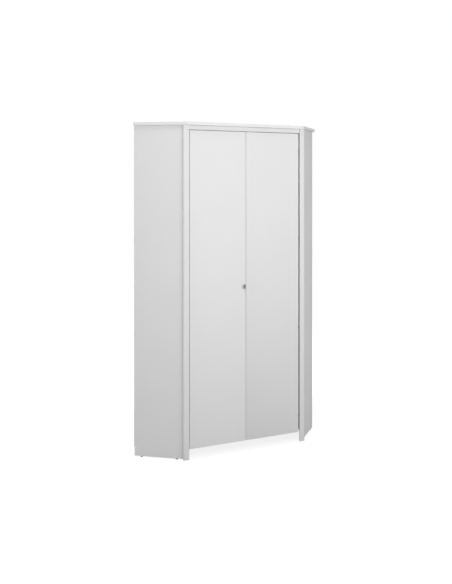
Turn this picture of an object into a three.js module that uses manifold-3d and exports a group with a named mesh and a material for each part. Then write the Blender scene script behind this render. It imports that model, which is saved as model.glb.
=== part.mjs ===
// Corner wardrobe with a five-sided plan, two doors across the corner, a hat shelf and a hanging rail.
// Lengths are in millimetres and +Z is up. The doors face -Y, and the corner of the room lies towards +Y.
// The origin is on the floor, at the middle of the outline seen from above.

import * as THREE from 'three';
import { mergeVertices } from 'three/addons/utils/BufferGeometryUtils.js';
import Module from 'manifold-3d';

const wasm = await Module();
wasm.setup();

// Overall sizes
const wallLeg = 969;
const sideDepth = 360;
const overallHeight = 2106;

// Boards
const boardThickness = 16;
const topThickness = 20;
const topArris = 1.5;
const backThickness = 3;
const frontOverhang = 17;
const sideOverhang = 17;
const fitGap = 0.3;
const cutOverrun = 1;

// Front posts and rear batten
const postThickness = 8;
const postSideInset = 4;
const postArris = 1.5;
const battenWidth = 36;

// Doors and the head rail above them
const doorThickness = 16;
const doorRecess = 8;
const doorGap = 3;
const doorSideGap = 6.3;
const doorFloorGap = 63;
const headRailHeight = 28;

// Floor panel and hat shelf
const floorPanelLift = 2;
const swingClearance = 1.6;
const hatSpaceHeight = 340;
const shelfSetback = 54;

// Glides under the side panels and the batten
const glideHeight = 6;
const glideRadius = 6.5;
const glideChamfer = 1.2;
const glideFrontInset = 66;
const glideRearInset = 44;

// Shelf pegs
const pegPinRadius = 2.5;
const pegPinDepth = 9;
const pegRestRadius = 4;
const pegRestLength = 9;
const pegInset = 50;

// Concealed hinges
const hingesPerDoor = 4;
const hingeEndInset = 100;
const pinInset = 20;
const pinDepth = 10;
const pinRadius = 1.5;
const pinWallGap = 0.4;
const cupCentreInset = 22;
const cupRadius = 17.5;
const cupDepth = 11.5;
const cupWall = 1.5;
const cupFloor = 1.2;
const flangeThickness = 1;
const flangeWidth = 38;
const flangeHeight = 58;
const flangeRounding = 6;
const armWidth = 10;
const armThickness = 2.5;
const armEyeRadius = 3.2;
const armReach = 17.5;
const armRise = 12.25;
const armCrownReach = 14.5;
const armCrownRise = 22;
const armBendReach = 6;
const armBackRise = 26.5;
const armBlockSpan = 7.7;
const armShoulderReach = 8;
const armSeatStart = 42;
const armSeatEnd = 54;
const armSeatSink = 0.75;
const armBlockStart = 38;
const armBlockEnd = 60;
const armBlockWidth = 12;
const plateThickness = 2;
const plateStart = 34;
const plateEnd = 64;
const plateHeight = 48;

// Knob and its screw
const knobEdgeInset = 15;
const knobWidth = 14;
const knobHeight = 26;
const knobHeadDepth = 11;
const knobHeadRounding = 3;
const knobStemRadius = 4.5;
const knobStemLength = 11;
const screwRadius = 2;
const screwHeadRadius = 4.5;
const screwHeadHeight = 2.4;
const screwReach = 8;

// Magnetic catches and their strike plates
const catchEdgeInset = 45;
const catchWidth = 40;
const catchDepth = 14;
const catchDrop = 22;
const catchLap = 20;
const strikeWidth = 34;
const strikeHeight = 14;
const strikeThickness = 1.2;
const strikeAirGap = 0.6;

// Hanging rail
const railSetback = 260;
const railEndClearance = 234;
const railDrop = 75;
const railHeight = 30;
const railWidth = 15;
const railWall = 1.5;
const bracketInset = 50;
const bracketThickness = 5;
const bracketRim = 5;
const bracketFlangeWidth = 30;
const bracketFlangeDepth = 52;
const bracketFlangeThickness = 3;
const capThickness = 2;
const capPlugLength = 10;

// Facets of round shapes
const roundSegments = 16;
const arrisSegments = 2;

// Finishes
const whiteBoard = { color: 0xe9e9e9, roughness: 0.55, metalness: 0 };
const whiteHardboard = { color: 0xe2e2e0, roughness: 0.7, metalness: 0 };
const nickelSteel = { color: 0xb9b9b6, roughness: 0.35, metalness: 1 };
const satinNickel = { color: 0x8c8c8a, roughness: 0.38, metalness: 1 };
const chromedSteel = { color: 0xd2d4d6, roughness: 0.15, metalness: 1 };
const darkPlastic = { color: 0x3a3a3a, roughness: 0.6, metalness: 0 };
const whitePlastic = { color: 0xe4e4e2, roughness: 0.5, metalness: 0 };

// Places worked out from the sizes
const wallShare = Math.SQRT1_2;
const planDepth = (wallLeg + sideDepth) * wallShare;
const frontEdgeY = -planDepth / 2;
const underTop = overallHeight - topThickness;
const backFace = backThickness + fitGap;

const postFrontY = frontEdgeY + frontOverhang;
const postBackY = postFrontY + postThickness;
const postCornerAlong = wallLeg - postSideInset;
const doorFrontY = postFrontY + doorRecess;
const doorBackY = doorFrontY + doorThickness;

// A side panel's front edge is mitred, and lies behind its post. The post's inner edge stands over the
// panel's inner edge.
const sideOuterAlong = wallLeg - sideOverhang;
const sideInnerAlong = sideOuterAlong - boardThickness;
const panelFrontY = postBackY + fitGap;
const postInnerX = (sideInnerAlong - outAtDepth(sideInnerAlong, panelFrontY)) * wallShare;
const battenFace = backFace + battenWidth;
const notch = battenFace + fitGap;

const doorTop = underTop - headRailHeight - doorGap;
const doorMiddleHeight = (doorFloorGap + doorTop) / 2;
const doorOuterX = postInnerX - doorSideGap;
const doorInnerX = doorGap / 2;

const floorPanelBottom = doorFloorGap + floorPanelLift;
const shelfTop = underTop - hatSpaceHeight;
const shelfBottom = shelfTop - boardThickness;
const shelfFrontY = doorBackY + shelfSetback;

const pinX = doorOuterX - pinInset;
const pinY = doorFrontY + pinDepth;
const pinAlong = (planDepth / 2 - pinY + pinX) * wallShare;
const pinPanelGap = sideInnerAlong - pinAlong;

// A door's outer edge swings into the wardrobe, and the floor panel ends behind that swing.
const swingRadius = Math.hypot(pinInset, Math.max(pinDepth, doorThickness - pinDepth));
const floorPanelFrontY = pinY + swingRadius + swingClearance;

const railY = doorBackY + railSetback;
const railCentreHeight = shelfBottom - railDrop;
const railHalfLength = (planDepth / 2 - railY) - backFace / wallShare - railEndClearance;

const wardrobe = new THREE.Group();

// A point in plan: its distance from the room's corner along one wall, and its distance out from that
// wall. Side -1 is the left wall and side 1 the right wall, seen from the front.
function fromWall(side, along, out) {
  return [side * (along - out) * wallShare, planDepth / 2 - (along + out) * wallShare];
}

// How far out from a wall a point at depth y lies, when it is the given distance along that wall.
function outAtDepth(along, y) {
  return (planDepth / 2 - y) / wallShare - along;
}

function addMesh(name, geometry, finish) {
  const mesh = new THREE.Mesh(geometry, new THREE.MeshStandardMaterial(finish));
  mesh.name = name;
  wardrobe.add(mesh);
  return mesh;
}

function outline(points) {
  return new THREE.Shape(points.map(([x, y]) => new THREE.Vector2(x, y)));
}

// An outline whose corners are rounded by the same short length on each edge.
function roundedOutline(points, rounding) {
  const shape = new THREE.Shape();
  const corners = points.map(([x, y]) => new THREE.Vector2(x, y));
  corners.forEach((corner, i) => {
    const before = corners[(i + corners.length - 1) % corners.length];
    const after = corners[(i + 1) % corners.length];
    const enter = before.clone().sub(corner).setLength(rounding).add(corner);
    const leave = after.clone().sub(corner).setLength(rounding).add(corner);
    if (i === 0) {
      shape.moveTo(enter.x, enter.y);
    } else {
      shape.lineTo(enter.x, enter.y);
    }
    shape.quadraticCurveTo(corner.x, corner.y, leave.x, leave.y);
  });
  shape.closePath();
  return shape;
}

// An upright prism between two heights.
function prism(shape, low, high, segments = roundSegments) {
  const geometry = new THREE.ExtrudeGeometry(shape, {
    depth: high - low,
    bevelEnabled: false,
    curveSegments: segments,
  });
  return geometry.translate(0, 0, low);
}

// An upright prism whose long edges are eased by a small round on top and underneath.
function easedPrism(shape, low, high, arris) {
  const geometry = new THREE.ExtrudeGeometry(shape, {
    depth: high - low - 2 * arris,
    bevelEnabled: true,
    bevelThickness: arris,
    bevelSize: arris,
    bevelOffset: -arris,
    bevelSegments: arrisSegments,
    curveSegments: roundSegments,
  });
  return geometry.translate(0, 0, low + arris);
}

function block(lowX, highX, lowY, highY, lowZ, highZ) {
  const geometry = new THREE.BoxGeometry(highX - lowX, highY - lowY, highZ - lowZ);
  return geometry.translate((lowX + highX) / 2, (lowY + highY) / 2, (lowZ + highZ) / 2);
}

// A round rod along +X, +Y or +Z, from its start point.
function rod(axis, radius, length, [x, y, z]) {
  const geometry = new THREE.CylinderGeometry(radius, radius, length, roundSegments);
  geometry.translate(0, length / 2, 0);
  if (axis === 'x') geometry.rotateZ(-Math.PI / 2);
  if (axis === 'z') geometry.rotateX(Math.PI / 2);
  return geometry.translate(x, y, z);
}

// A turned shape about its own +Y axis, from radius and height pairs.
function turned(profile) {
  return new THREE.LatheGeometry(profile.map(([r, h]) => new THREE.Vector2(r, h)), roundSegments);
}

function toSolid(geometry) {
  const bare = geometry.clone();
  bare.deleteAttribute('normal');
  bare.deleteAttribute('uv');
  const merged = mergeVertices(bare);
  return new wasm.Manifold(new wasm.Mesh({
    numProp: 3,
    vertProperties: merged.attributes.position.array,
    triVerts: new Uint32Array(merged.index.array),
  }));
}

function toGeometry(solid) {
  const { numProp, vertProperties, triVerts } = solid.getMesh();
  const geometry = new THREE.BufferGeometry();
  geometry.setAttribute('position', new THREE.BufferAttribute(vertProperties, numProp));
  geometry.setIndex(new THREE.BufferAttribute(triVerts, 1));
  const flat = geometry.toNonIndexed();
  flat.computeVertexNormals();
  return flat;
}

function carve(body, cuts) {
  return toGeometry(cuts.reduce((solid, cut) => solid.subtract(toSolid(cut)), toSolid(body)));
}

function fuse(pieces) {
  return pieces.slice(1).reduce((solid, piece) => solid.add(toSolid(piece)), toSolid(pieces[0]));
}

function sideName(side) {
  return side < 0 ? 'left' : 'right';
}

// Both halves of an outline that is the same on the left and on the right.
function mirroredOutline(leftHalf) {
  const rightHalf = leftHalf.map(([x, y]) => [-x, y]).reverse();
  return outline([...leftHalf, ...rightHalf.filter(([x]) => x !== 0)]);
}

function addTopPanel() {
  const shape = mirroredOutline([
    fromWall(-1, 0, 0),
    fromWall(-1, wallLeg, 0),
    fromWall(-1, wallLeg, sideDepth),
  ]);
  addMesh('top_panel', easedPrism(shape, underTop, overallHeight, topArris), whiteBoard);
}

// The corner where the panel passes round the batten, then its edge along the left wall.
function notchedBack() {
  return [
    fromWall(-1, notch, notch),
    fromWall(-1, notch, backFace),
    fromWall(-1, sideInnerAlong - fitGap, backFace),
  ];
}

// A panel between the sides, from the back panels to a straight front edge.
function innerPanel(frontY) {
  const along = sideInnerAlong - fitGap;
  return mirroredOutline([...notchedBack(), fromWall(-1, along, outAtDepth(along, frontY))]);
}

function addFloorPanel() {
  const top = floorPanelBottom + boardThickness;
  addMesh('floor_panel', prism(innerPanel(floorPanelFrontY), floorPanelBottom, top), whiteBoard);
}

function addHatShelf() {
  addMesh('hat_shelf', prism(innerPanel(shelfFrontY), shelfBottom, shelfTop), whiteBoard);
}

function addHeadRail() {
  const halfLength = postInnerX - fitGap;
  const low = underTop - headRailHeight;
  const rail = block(-halfLength, halfLength, doorFrontY, doorFrontY + boardThickness, low, underTop);
  addMesh('head_rail', rail, whiteBoard);
}

function addPost(side) {
  const shape = roundedOutline([
    fromWall(side, postCornerAlong, outAtDepth(postCornerAlong, postFrontY)),
    fromWall(side, postCornerAlong, outAtDepth(postCornerAlong, postBackY)),
    [side * postInnerX, postBackY],
    [side * postInnerX, postFrontY],
  ], postArris);
  addMesh(`${sideName(side)}_front_post`, prism(shape, 0, underTop, arrisSegments), whiteBoard);
}

function addRearBatten() {
  const shape = outline([
    fromWall(-1, backFace, backFace),
    fromWall(-1, battenFace, backFace),
    fromWall(-1, battenFace, battenFace),
    fromWall(-1, backFace, battenFace),
  ]);
  const batten = carve(prism(shape, glideHeight, underTop), [
    pegSocket(pegSeat('left_batten')),
    pegSocket(pegSeat('right_batten')),
  ]);
  addMesh('rear_corner_batten', batten, whiteBoard);
}

function addSidePanel(side) {
  const shape = outline([
    fromWall(side, sideInnerAlong, backFace),
    fromWall(side, sideOuterAlong, backFace),
    fromWall(side, sideOuterAlong, outAtDepth(sideOuterAlong, panelFrontY)),
    [side * postInnerX, panelFrontY],
  ]);
  const panel = carve(prism(shape, glideHeight, underTop), [
    pegSocket(pegSeat(`${sideName(side)}_front`)),
    pegSocket(pegSeat(`${sideName(side)}_rear`)),
  ]);
  addMesh(`${sideName(side)}_side_panel`, panel, whiteBoard);
}

function addBackPanel(side) {
  const shape = outline([
    fromWall(side, backFace, 0),
    fromWall(side, sideOuterAlong - fitGap, 0),
    fromWall(side, sideOuterAlong - fitGap, backThickness),
    fromWall(side, backFace, backThickness),
  ]);
  addMesh(`${sideName(side)}_back_panel`, prism(shape, floorPanelBottom, underTop), whiteHardboard);
}

// Where a shelf peg stands: its plan point on the board's face, and the plan direction in which it
// stands out from that face.
function pegSeat(name) {
  const [sideWord, place] = name.split('_');
  const side = sideWord === 'left' ? -1 : 1;
  const onBatten = place === 'batten';
  const along = onBatten ? battenFace : sideInnerAlong;
  const frontOut = outAtDepth(sideInnerAlong, shelfFrontY) - pegInset;
  const outs = { front: frontOut, rear: backFace + pegInset, batten: backFace + battenWidth / 2 };
  const facing = onBatten ? 1 : -1;
  return { point: fromWall(side, along, outs[place]), side, facing };
}

// Turns a shape made about +Y so that +Y points out of the peg's board, and sets it on the seat.
function standOnSeat(geometry, { point, side, facing }) {
  const directionX = side * facing * wallShare;
  const directionY = -facing * wallShare;
  geometry.rotateZ(-Math.atan2(directionX, directionY));
  return geometry.translate(point[0], point[1], shelfBottom - pegRestRadius - fitGap);
}

function pegSocket(seat) {
  const depth = pegPinDepth + fitGap;
  const radius = pegPinRadius + fitGap;
  return standOnSeat(rod('y', radius, depth + cutOverrun, [0, -depth, 0]), seat);
}

function addShelfPeg(name) {
  const peg = turned([
    [0, -pegPinDepth],
    [pegPinRadius, -pegPinDepth],
    [pegPinRadius, fitGap],
    [pegRestRadius, fitGap],
    [pegRestRadius, fitGap + pegRestLength],
    [0, fitGap + pegRestLength],
  ]);
  addMesh(`shelf_peg_${name}`, standOnSeat(peg, pegSeat(name)), nickelSteel);
}

function addGlide(name, [x, y]) {
  const glide = turned([
    [0, 0],
    [glideRadius - glideChamfer, 0],
    [glideRadius, glideChamfer],
    [glideRadius, glideHeight],
    [0, glideHeight],
  ]);
  glide.rotateX(Math.PI / 2);
  addMesh(`glide_${name}`, glide.translate(x, y, 0), darkPlastic);
}

function addGlides() {
  const middleAlong = (sideInnerAlong + sideOuterAlong) / 2;
  const frontOut = outAtDepth(middleAlong, panelFrontY) - glideFrontInset;
  for (const side of [-1, 1]) {
    const front = fromWall(side, middleAlong, frontOut);
    const rear = fromWall(side, middleAlong, backFace + glideRearInset);
    addGlide(`${sideName(side)}_front`, front);
    addGlide(`${sideName(side)}_rear`, rear);
  }
  const battenMiddle = backFace + battenWidth / 2;
  addGlide('corner', fromWall(-1, battenMiddle, battenMiddle));
}

function hingeHeights() {
  const lowest = doorFloorGap + hingeEndInset;
  const highest = doorTop - hingeEndInset;
  const step = (highest - lowest) / (hingesPerDoor - 1);
  return Array.from({ length: hingesPerDoor }, (_, i) => lowest + i * step);
}

// Hinge shapes are drawn for the left door, with the pin's axis at the origin, +X towards the door's
// free edge and +Y into the wardrobe. This puts one in its place and mirrors it for the right door.
function placeHinge(solid, side, height) {
  const placed = side < 0 ? solid : solid.mirror([1, 0, 0]);
  return toGeometry(placed.translate([side * pinX, pinY, height]));
}

function hingeCup() {
  const centre = cupCentreInset - pinInset;
  const mouth = doorThickness - pinDepth;
  const bottom = mouth - cupDepth;
  const seat = mouth + fitGap;
  const rim = seat + flangeThickness;
  const inner = cupRadius - cupWall;
  const cup = turned([
    [0, bottom],
    [cupRadius, bottom],
    [cupRadius, rim],
    [inner, rim],
    [inner, bottom + cupFloor],
    [0, bottom + cupFloor],
  ]);
  const corners = [[-1, -1], [1, -1], [1, 1], [-1, 1]];
  const flangeShape = roundedOutline(
    corners.map(([x, z]) => [x * flangeWidth / 2, z * flangeHeight / 2]),
    flangeRounding,
  );
  const middle = new THREE.Path();
  middle.absarc(0, 0, inner + cupWall / 2, 0, 2 * Math.PI, true);
  flangeShape.holes.push(middle);
  const flange = prism(flangeShape, 0, flangeThickness, roundSegments / 2);
  flange.rotateX(-Math.PI / 2).translate(0, seat, 0);
  const pinHole = rod('z', pinRadius + fitGap, 2 * (cupRadius + cutOverrun), [
    -centre,
    0,
    -cupRadius - cutOverrun,
  ]);
  return fuse([cup, flange]).subtract(toSolid(pinHole)).translate([centre, 0, 0]);
}

function hingePin() {
  const wallChord = Math.sqrt(cupRadius ** 2 - (cupCentreInset - pinInset) ** 2);
  const halfLength = wallChord - pinWallGap;
  return toSolid(rod('z', pinRadius, 2 * halfLength, [0, 0, -halfLength]));
}

// A strip of even thickness along a bent line in plan.
function stripOutline(points, thickness) {
  const line = points.map(([x, y]) => new THREE.Vector2(x, y));
  const offset = (i, hand) => {
    const before = line[Math.max(i - 1, 0)];
    const after = line[Math.min(i + 1, line.length - 1)];
    const arriving = line[i].clone().sub(i > 0 ? before : line[i]);
    const leaving = after.clone().sub(line[i]);
    const first = arriving.lengthSq() > 0 ? arriving.normalize() : leaving.clone().normalize();
    const second = leaving.lengthSq() > 0 ? leaving.normalize() : first.clone();
    const along = first.clone().add(second).normalize();
    const spread = thickness / 2 / along.dot(first);
    return [line[i].x - hand * along.y * spread, line[i].y + hand * along.x * spread];
  };
  const leftEdge = line.map((_, i) => offset(i, 1));
  const rightEdge = line.map((_, i) => offset(i, -1)).reverse();
  return outline([...leftEdge, ...rightEdge]);
}

// The arm turns round the swinging edge of the door and ends on a block, which a plate holds to the
// side panel. Plate and block are drawn square to the panel's face and turned with it, and the strip's
// seat on the block is worked out in the same way.
function hingeArm() {
  const panelFace = fitGap - pinPanelGap;
  const plateMiddle = panelFace + plateThickness / 2;
  const plateFace = panelFace + plateThickness;
  const blockFace = plateFace + armBlockSpan;
  const seat = blockFace - armSeatSink + armThickness / 2;
  const onSeat = (distance) => [(seat - distance) * wallShare, (seat + distance) * wallShare];
  const strip = stripOutline([
    [0, 0],
    [armReach, armRise],
    [armCrownReach, armCrownRise],
    [armBendReach, armBackRise],
    [-armShoulderReach, armBackRise],
    onSeat(armSeatStart),
    onSeat(armSeatEnd),
  ], armThickness);
  const halfBlock = armBlockWidth / 2;
  const halfPlate = plateHeight / 2;
  const housing = block(plateMiddle, blockFace, armBlockStart, armBlockEnd, -halfBlock, halfBlock);
  const plate = block(panelFace, plateFace, plateStart, plateEnd, -halfPlate, halfPlate);
  const arm = fuse([
    prism(strip, -armWidth / 2, armWidth / 2),
    rod('z', armEyeRadius, armWidth, [0, 0, -armWidth / 2]),
    housing.rotateZ(Math.PI / 4),
    plate.rotateZ(Math.PI / 4),
  ]);
  const eyeLength = armWidth + 2 * cutOverrun;
  return arm.subtract(toSolid(rod('z', pinRadius + fitGap, eyeLength, [0, 0, -eyeLength / 2])));
}

function addHinges(side) {
  const cup = hingeCup();
  const pin = hingePin();
  const arm = hingeArm();
  hingeHeights().forEach((height, i) => {
    const name = `${sideName(side)}_hinge`;
    addMesh(`${name}_cup_${i + 1}`, placeHinge(cup, side, height), nickelSteel);
    addMesh(`${name}_pin_${i + 1}`, placeHinge(pin, side, height), nickelSteel);
    addMesh(`${name}_arm_${i + 1}`, placeHinge(arm, side, height), nickelSteel);
  });
}

function knobX() {
  return -(doorInnerX + knobEdgeInset);
}

function addDoor(side) {
  const lowX = Math.min(side * doorInnerX, side * doorOuterX);
  const highX = Math.max(side * doorInnerX, side * doorOuterX);
  const slab = block(lowX, highX, doorFrontY, doorBackY, doorFloorGap, doorTop);
  const cupX = side * (doorOuterX - cupCentreInset);
  const depth = cupDepth + fitGap;
  const cuts = hingeHeights().map((height) => (
    rod('y', cupRadius + fitGap, depth + cutOverrun, [cupX, doorBackY - depth, height])
  ));
  if (side < 0) {
    const start = [knobX(), doorFrontY - cutOverrun, doorMiddleHeight];
    cuts.push(rod('y', screwRadius + fitGap, doorThickness + 2 * cutOverrun, start));
  }
  addMesh(`${sideName(side)}_door`, carve(slab, cuts), whiteBoard);
}

function addKnob() {
  const across = knobWidth / 2;
  const straight = (knobHeight - knobWidth) / 2;
  const shape = new THREE.Shape();
  shape.absarc(0, straight, across, 0, Math.PI, false);
  shape.absarc(0, -straight, across, Math.PI, 2 * Math.PI, false);
  shape.closePath();
  const head = new THREE.ExtrudeGeometry(shape, {
    depth: knobHeadDepth - 2 * knobHeadRounding,
    bevelEnabled: true,
    bevelThickness: knobHeadRounding,
    bevelSize: knobHeadRounding,
    bevelOffset: -knobHeadRounding,
    bevelSegments: arrisSegments + 1,
    curveSegments: roundSegments / 2,
  });
  head.rotateX(Math.PI / 2);
  head.translate(0, -fitGap - knobStemLength - knobHeadRounding, 0);
  const stem = rod('y', knobStemRadius, knobStemLength + cutOverrun, [
    0,
    -fitGap - knobStemLength - cutOverrun,
    0,
  ]);
  const depth = screwReach + fitGap;
  const hole = rod('y', screwRadius + fitGap, depth + cutOverrun, [0, -fitGap - depth, 0]);
  const knob = toGeometry(fuse([head, stem]).subtract(toSolid(hole)));
  addMesh('door_knob', knob.translate(knobX(), doorFrontY, doorMiddleHeight), satinNickel);
}

function addKnobScrew() {
  const length = screwReach + fitGap + doorThickness;
  const screw = turned([
    [0, -length],
    [screwRadius, -length],
    [screwRadius, fitGap],
    [screwHeadRadius, fitGap],
    [screwHeadRadius, fitGap + screwHeadHeight / 2],
    [screwHeadRadius / 2, fitGap + screwHeadHeight],
    [0, fitGap + screwHeadHeight],
  ]);
  addMesh('knob_screw', screw.translate(knobX(), doorBackY, doorMiddleHeight), nickelSteel);
}

// A catch is screwed to the back of the head rail and hangs down behind the door, where its magnet
// meets the strike plate. Its lower part stands back by the plate's thickness and a small air gap.
function addCatch(side) {
  const railBackY = doorFrontY + boardThickness + fitGap;
  const magnetY = doorBackY + fitGap + strikeThickness + strikeAirGap;
  const lapLow = underTop - headRailHeight;
  const profile = outline([
    [railBackY, lapLow],
    [railBackY, lapLow + catchLap],
    [railBackY + catchDepth, lapLow + catchLap],
    [railBackY + catchDepth, lapLow - catchDrop],
    [magnetY, lapLow - catchDrop],
    [magnetY, lapLow],
  ]);
  const catchBody = prism(profile, 0, catchWidth);
  catchBody.rotateX(Math.PI / 2).rotateZ(Math.PI / 2);
  const centreX = side * (doorInnerX + catchEdgeInset);
  catchBody.translate(centreX - catchWidth / 2, 0, 0);
  addMesh(`${sideName(side)}_magnetic_catch`, catchBody, whitePlastic);
}

function addStrikePlate(side) {
  const centreX = side * (doorInnerX + catchEdgeInset);
  const centreZ = underTop - headRailHeight - catchDrop / 2;
  const nearY = doorBackY + fitGap;
  const plate = block(
    centreX - strikeWidth / 2,
    centreX + strikeWidth / 2,
    nearY,
    nearY + strikeThickness,
    centreZ - strikeHeight / 2,
    centreZ + strikeHeight / 2,
  );
  addMesh(`${sideName(side)}_strike_plate`, plate, nickelSteel);
}

// An upright oval, drawn in Y and Z, with semicircles at its top and bottom.
function ovalPath(path, centreY, centreZ, width, height) {
  const radius = width / 2;
  const straight = height / 2 - radius;
  path.absarc(centreY, centreZ + straight, radius, 0, Math.PI, false);
  path.absarc(centreY, centreZ - straight, radius, Math.PI, 2 * Math.PI, false);
  path.closePath();
  return path;
}

// A shape drawn in Y and Z, carried along X between two places.
function alongX(shape, lowX, highX) {
  const geometry = prism(shape, lowX, highX, roundSegments / 2);
  return geometry.rotateX(Math.PI / 2).rotateZ(Math.PI / 2);
}

function addHangingRail() {
  const shape = ovalPath(new THREE.Shape(), railY, railCentreHeight, railWidth, railHeight);
  const innerWidth = railWidth - 2 * railWall;
  const innerHeight = railHeight - 2 * railWall;
  shape.holes.push(ovalPath(new THREE.Path(), railY, railCentreHeight, innerWidth, innerHeight));
  addMesh('hanging_rail', alongX(shape, -railHalfLength, railHalfLength), chromedSteel);
}

function addRailBracket(side) {
  const outerWidth = railWidth + 2 * (fitGap + bracketRim);
  const low = railCentreHeight - railHeight / 2 - fitGap - bracketRim;
  const high = shelfBottom - fitGap;
  const centreX = side * (railHalfLength - bracketInset);
  const corners = [
    [railY - outerWidth / 2, low],
    [railY + outerWidth / 2, low],
    [railY + outerWidth / 2, high],
    [railY - outerWidth / 2, high],
  ];
  const shape = roundedOutline(corners, bracketRim);
  const holeWidth = railWidth + 2 * fitGap;
  const holeHeight = railHeight + 2 * fitGap;
  shape.holes.push(ovalPath(new THREE.Path(), railY, railCentreHeight, holeWidth, holeHeight));
  const bracket = fuse([
    alongX(shape, centreX - bracketThickness / 2, centreX + bracketThickness / 2),
    block(
      centreX - bracketFlangeWidth / 2,
      centreX + bracketFlangeWidth / 2,
      railY - bracketFlangeDepth / 2,
      railY + bracketFlangeDepth / 2,
      high - bracketFlangeThickness,
      high,
    ),
  ]);
  addMesh(`${sideName(side)}_rail_bracket`, toGeometry(bracket), chromedSteel);
}

function addRailCap(side) {
  const end = side * (railHalfLength + fitGap);
  const outer = ovalPath(new THREE.Shape(), railY, railCentreHeight, railWidth, railHeight);
  const plugWidth = railWidth - 2 * (railWall + fitGap);
  const plugHeight = railHeight - 2 * (railWall + fitGap);
  const plug = ovalPath(new THREE.Shape(), railY, railCentreHeight, plugWidth, plugHeight);
  const face = end + side * capThickness;
  const tip = end - side * capPlugLength;
  const cap = fuse([
    alongX(outer, Math.min(end, face), Math.max(end, face)),
    alongX(plug, Math.min(tip, face), Math.max(tip, face)),
  ]);
  addMesh(`${sideName(side)}_rail_cap`, toGeometry(cap), whitePlastic);
}

addTopPanel();
addFloorPanel();
addHatShelf();
addHeadRail();
addRearBatten();
addHangingRail();
for (const side of [-1, 1]) {
  addPost(side);
  addSidePanel(side);
  addBackPanel(side);
  addDoor(side);
  addHinges(side);
  addCatch(side);
  addStrikePlate(side);
  addRailBracket(side);
  addRailCap(side);
  for (const place of ['front', 'rear', 'batten']) {
    addShelfPeg(`${sideName(side)}_${place}`);
  }
}
addGlides();
addKnob();
addKnobScrew();

export default wardrobe;
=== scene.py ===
"""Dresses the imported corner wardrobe: white boards, steel and plastic fittings, studio light and camera.

Sizes are in millimetres unless a name says otherwise. +Z is up, the doors face -Y, and the corner of the room
lies towards +Y. A piece that has a twin is worked out for the left side, and its twin is its mirror image.
"""

import logging
import math
from dataclasses import dataclass
from enum import Enum
from typing import Any, Sequence

import bpy
import numpy as np
from mathutils import Euler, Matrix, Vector
from mathutils.geometry import tessellate_polygon


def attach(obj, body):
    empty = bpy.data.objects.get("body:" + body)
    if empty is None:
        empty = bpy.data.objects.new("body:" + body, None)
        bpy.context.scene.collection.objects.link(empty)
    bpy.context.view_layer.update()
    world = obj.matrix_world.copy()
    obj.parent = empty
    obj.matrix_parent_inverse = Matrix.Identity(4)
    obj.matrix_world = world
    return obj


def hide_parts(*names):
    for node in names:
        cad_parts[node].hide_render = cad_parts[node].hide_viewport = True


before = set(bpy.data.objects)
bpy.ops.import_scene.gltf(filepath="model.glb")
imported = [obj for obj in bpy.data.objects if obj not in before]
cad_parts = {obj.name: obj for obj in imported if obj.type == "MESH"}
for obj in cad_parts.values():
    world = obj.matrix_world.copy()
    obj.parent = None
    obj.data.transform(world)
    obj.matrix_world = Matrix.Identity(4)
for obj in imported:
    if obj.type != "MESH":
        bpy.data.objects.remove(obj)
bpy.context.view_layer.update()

MM = 0.001
WALL_SHARE = math.sqrt(0.5)
QUARTER_TURN = math.pi / 2
CREASE_DEGREES = 34.0
ROUND_POINTS = 48
SMALL_ROUND_POINTS = 24
WHITE = "#ffffff"

# Points on a rounded corner or rings on an eased edge, by how closely it is seen.
COARSE, PLAIN, MEDIUM, FINE, FULL = 3, 4, 5, 6, 12

# The sRGB curve is straight up to its knee and a power from there on.
SRGB_KNEE, SRGB_SLOPE, SRGB_SHIFT, SRGB_POWER = 0.04045, 12.92, 0.055, 2.4

# How many finer layers each noise has, and the span that holds nearly all of a noise's values.
CLOUD_DETAIL, SWELL_DETAIL, GRAIN_DETAIL = 3.0, 1.0, 2.0
NOISE_SPAN = (0.3, 0.7)

# An oval's end radius is smaller than half its width by this, so that its two arcs don't share a point.
OVAL_SLACK = 0.02

Pair = tuple[float, float]
Triple = tuple[float, float, float]
Points = Sequence[Sequence[float]]
Outline = tuple[np.ndarray, np.ndarray]
Tree = bpy.types.NodeTree
Socket = bpy.types.NodeSocket

log = logging.getLogger("corner_wardrobe")


class Side(Enum):
    """The two halves of the wardrobe, seen from the front."""

    LEFT = "left"
    RIGHT = "right"


class Body(Enum):
    """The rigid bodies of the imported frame."""

    CARCASS = "carcass"
    LEFT_DOOR = "left_door"
    RIGHT_DOOR = "right_door"


class Slot(Enum):
    """The record's material slots."""

    BOARD = "white_board"
    HARDBOARD = "white_hardboard"
    NICKEL = "nickel_steel"
    KNOB = "satin_nickel"
    CHROME = "chromed_steel"
    GLIDE = "dark_plastic"
    PLASTIC = "white_plastic"


class Axes(Enum):
    """Directions of a shape's own first, second and rise axes in the wardrobe's frame."""

    INWARD = ((-1.0, 0.0, 0.0), (0.0, 0.0, 1.0), (0.0, 1.0, 0.0))
    OUTWARD = ((1.0, 0.0, 0.0), (0.0, 0.0, 1.0), (0.0, -1.0, 0.0))
    CROSSWISE = ((0.0, 1.0, 0.0), (0.0, 0.0, 1.0), (1.0, 0.0, 0.0))
    FROM_SIDE = ((-WALL_SHARE, WALL_SHARE, 0.0), (0.0, 0.0, 1.0), (WALL_SHARE, WALL_SHARE, 0.0))
    TO_SIDE = ((WALL_SHARE, -WALL_SHARE, 0.0), (0.0, 0.0, 1.0), (-WALL_SHARE, -WALL_SHARE, 0.0))
    TO_LEFT_WALL = ((-WALL_SHARE, -WALL_SHARE, 0.0), (0.0, 0.0, 1.0), (-WALL_SHARE, WALL_SHARE, 0.0))


def add_object(name: str, data: bpy.types.ID) -> bpy.types.Object:
    """Puts a mesh, a lamp or a camera into the scene."""
    thing = bpy.data.objects.new(name, data)
    bpy.context.scene.collection.objects.link(thing)
    return thing


# Finishes


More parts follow.
